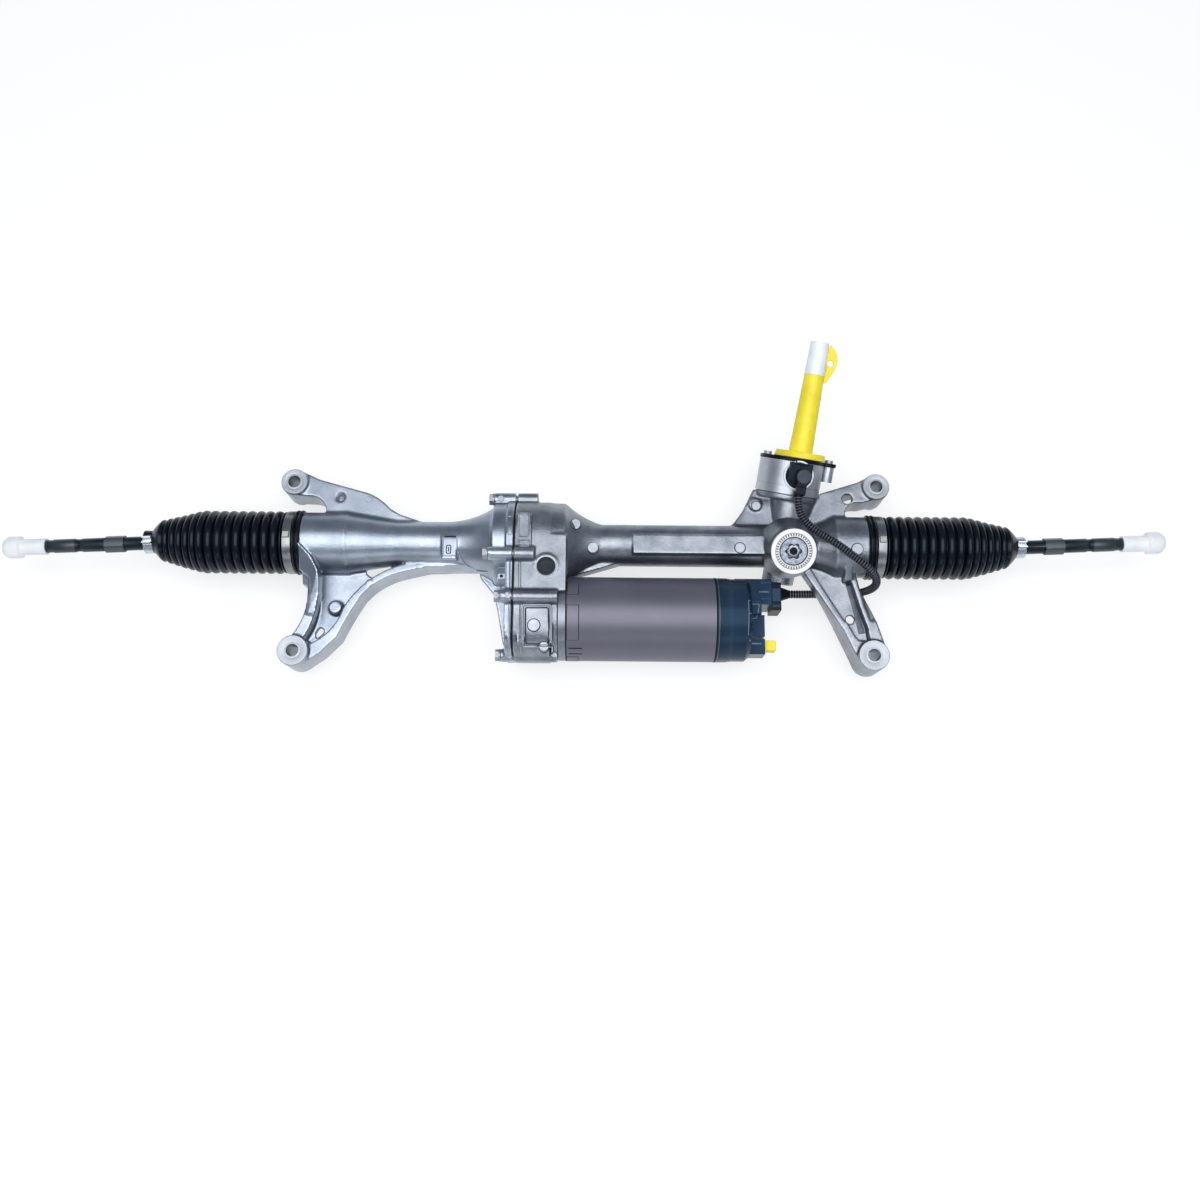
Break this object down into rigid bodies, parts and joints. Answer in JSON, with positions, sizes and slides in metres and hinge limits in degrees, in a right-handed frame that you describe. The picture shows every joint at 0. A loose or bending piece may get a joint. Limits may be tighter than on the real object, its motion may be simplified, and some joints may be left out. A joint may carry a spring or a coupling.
{
  "type": "electric power steering rack",
  "caption": "Rack-and-pinion steering gear with belt-driven ball-nut electric assist, bolt-down housing, bellows boots and tie rods.",
  "frame": {"origin": "midpoint between the two front mounting holes, on their underside seat plane", "axes": "+X along the rack towards the pinion side, +Y from the front to the rear mounting holes, +Z along the mounting bolts towards the side seen in the picture"},
  "size_m": [1.2182, 0.343, 0.1163],
  "materials": {
    "left_casting": "satin",
    "right_casting": "matte",
    "black_rubber": "satin",
    "steel": "satin",
    "black_steel": "satin",
    "zinc": "satin",
    "pulley_alloy": "matte",
    "motor_paint": "matte",
    "unit_cover": "semi-gloss",
    "black_plastic": "matte",
    "bearing_plastic": "matte",
    "yellow_plastic": "satin",
    "white_plastic": "satin",
    "lamination": "matte",
    "copper": "satin",
    "board_green": "satin"
  },
  "bodies": {
    "housing": {"drive_end_housing": "left_casting", "rack_housing": "right_casting", "housing_seal": "black_rubber", "housing_bolts": "steel", "mount_sleeves": "steel", "nut_bearing_outer": "steel", "nut_bearing_retainer": "steel", "drive_belt": "black_rubber", "motor_end_plate": "right_casting", "motor_case": "motor_paint", "motor_bearings": "steel", "motor_stator": "lamination", "motor_windings": "copper", "control_unit_cover": "unit_cover", "control_board": "board_green", "power_plug": "yellow_plastic", "motor_harness_connector": "black_plastic", "sensor_harness": "black_plastic", "pinion_needle_bearing": "steel", "pinion_ball_bearing": "steel", "sensor_housing": "right_casting", "sensor_lid": "black_plastic", "small_screws": "steel", "pinion_seal": "black_rubber", "torque_sensor": "black_plastic", "sensor_connector": "black_plastic", "yoke": "pulley_alloy", "yoke_spring": "steel", "yoke_adjuster": "pulley_alloy", "yoke_lock_ring": "white_plastic", "inspection_plug": "black_plastic", "rack_bushing": "bearing_plastic", "rack_end_stops": "black_rubber", "band_clamps": "steel", "left_boot": "black_rubber", "right_boot": "black_rubber"},
    "rack": {"rack_bar": "steel", "left_socket": "steel", "right_socket": "steel"},
    "nut": {"ball_nut": "steel", "nut_pulley": "pulley_alloy", "screw_balls": "steel", "nut_bearing_inner": "steel"},
    "rotor": {"motor_shaft": "steel", "motor_rotor": "lamination", "motor_pulley": "pulley_alloy"},
    "pinion": {"pinion_shaft": "steel", "torsion_bar": "steel"},
    "steering_input": {"input_shaft": "steel", "sensor_magnet_ring": "lamination", "shaft_protector": "yellow_plastic", "spline_cap": "white_plastic"},
    "left_seat": {"left_ball_seat": "bearing_plastic"},
    "right_seat": {"right_ball_seat": "bearing_plastic"},
    "left_tie": {"left_tie_rod": "black_steel", "left_wire_clamp": "zinc", "left_thread_cap": "white_plastic"},
    "right_tie": {"right_tie_rod": "black_steel", "right_wire_clamp": "zinc", "right_thread_cap": "white_plastic"}
  },
  "joints": [
    {"name": "rotor_turn", "type": "hinge", "parent": "housing", "child": "rotor", "pos_m": [0.05, 0.038, 0.028], "axis": [1, 0, 0], "range_deg": [-6352, 6352]},
    {"name": "nut_turn", "type": "hinge", "parent": "housing", "child": "nut", "pos_m": [-0.073, 0.117, 0.028], "axis": [1, 0, 0], "range_deg": [-2700.6, 2700.6]},
    {"name": "rack_slide", "type": "slide", "parent": "housing", "child": "rack", "axis": [1, 0, 0], "range_m": [-0.075, 0.075], "deforming": ["left_boot", "right_boot"]},
    {"name": "pinion_turn", "type": "hinge", "parent": "housing", "child": "pinion", "pos_m": [0.212, 0.12367, 0.00968], "axis": [0.1478, 0.9294, 0.3383], "range_deg": [-532.2, 532.2]},
    {"name": "input_twist", "type": "hinge", "parent": "pinion", "child": "steering_input", "pos_m": [0.21939, 0.17014, 0.02659], "axis": [0.1478, 0.9294, 0.3383], "range_deg": [-4.5, 4.5], "stiffness_Nm_per_rad": 120},
    {"name": "left_swing", "type": "hinge", "parent": "rack", "child": "left_seat", "pos_m": [-0.4195, 0.117, 0.028], "axis": [0, 1, 0], "range_deg": [-20, 20], "deforming": ["left_boot"]},
    {"name": "left_sweep", "type": "hinge", "parent": "left_seat", "child": "left_tie", "pos_m": [-0.4195, 0.117, 0.028], "axis": [0, 0, 1], "range_deg": [-12, 12], "deforming": ["left_boot"]},
    {"name": "right_swing", "type": "hinge", "parent": "rack", "child": "right_seat", "pos_m": [0.4195, 0.117, 0.028], "axis": [0, 1, 0], "range_deg": [-20, 20], "deforming": ["right_boot"]},
    {"name": "right_sweep", "type": "hinge", "parent": "right_seat", "child": "right_tie", "pos_m": [0.4195, 0.117, 0.028], "axis": [0, 0, 1], "range_deg": [-12, 12], "deforming": ["right_boot"]}
  ],
  "couplings": [
    {"joint": "nut_turn", "follows": "rotor_turn", "ratio": 0.425},
    {"joint": "rack_slide", "follows": "rotor_turn", "m_per_rad": -0.00067641},
    {"joint": "pinion_turn", "follows": "rotor_turn", "ratio": -0.083622}
  ]
}
